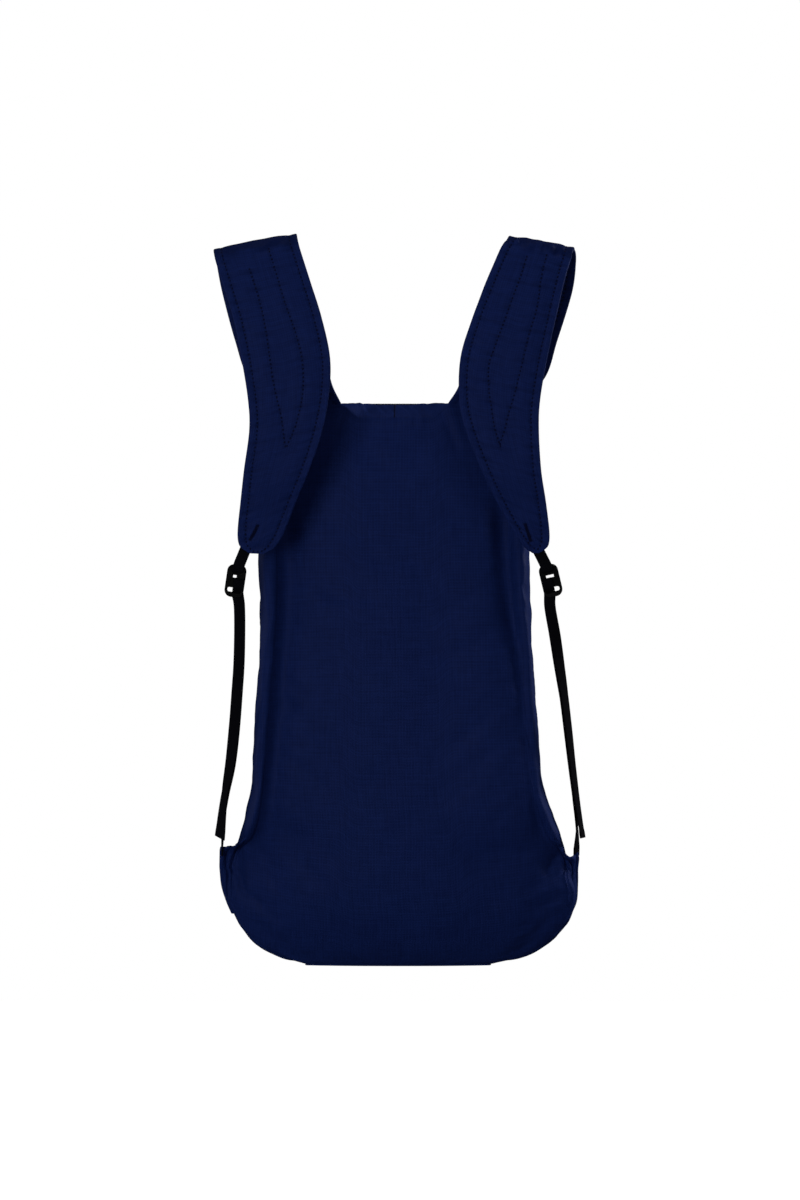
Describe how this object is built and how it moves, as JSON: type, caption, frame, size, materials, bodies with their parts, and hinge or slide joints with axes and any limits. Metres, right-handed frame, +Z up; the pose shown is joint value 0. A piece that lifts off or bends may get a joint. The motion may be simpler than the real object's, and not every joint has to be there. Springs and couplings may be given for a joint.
{
  "type": "lightweight backpack",
  "caption": "Thin packable ripstop backpack of sewn panels with wide padded shoulder straps and webbing adjusters, for carrying light loads on the back.",
  "frame": {"origin": "between the wearer's two shoulders, level with the fold of the shoulder straps, where the straps carry the bag", "axes": "+Z up, -Y towards the wearer, +X to the right as seen from the wearer's side"},
  "size_m": [0.3171, 0.2076, 0.6194],
  "materials": {
    "ripstop": "thin coated navy ripstop with a slight sheen",
    "strap_cloth": "navy ripstop over thin padding, topstitched",
    "webbing": "narrow black woven webbing",
    "buckle_plastic": "black moulded plastic",
    "zip": "dark coil zip on tape, closed"
  },
  "bodies": {
    "root": {"back_panel": "ripstop", "front_panel": "ripstop", "top_panel_back": "ripstop", "top_panel_front": "ripstop", "top_zip": "zip", "base_panel": "ripstop", "side_gusset_left": "ripstop", "side_gusset_right": "ripstop", "shoulder_strap_left": "strap_cloth", "shoulder_strap_right": "strap_cloth", "strap_end_webbing_left": "webbing", "strap_end_webbing_right": "webbing", "ladder_lock_left": "buckle_plastic", "ladder_lock_right": "buckle_plastic", "webbing_left": "webbing", "webbing_right": "webbing", "wing_left": "ripstop", "wing_right": "ripstop"}
  },
  "joints": []
}
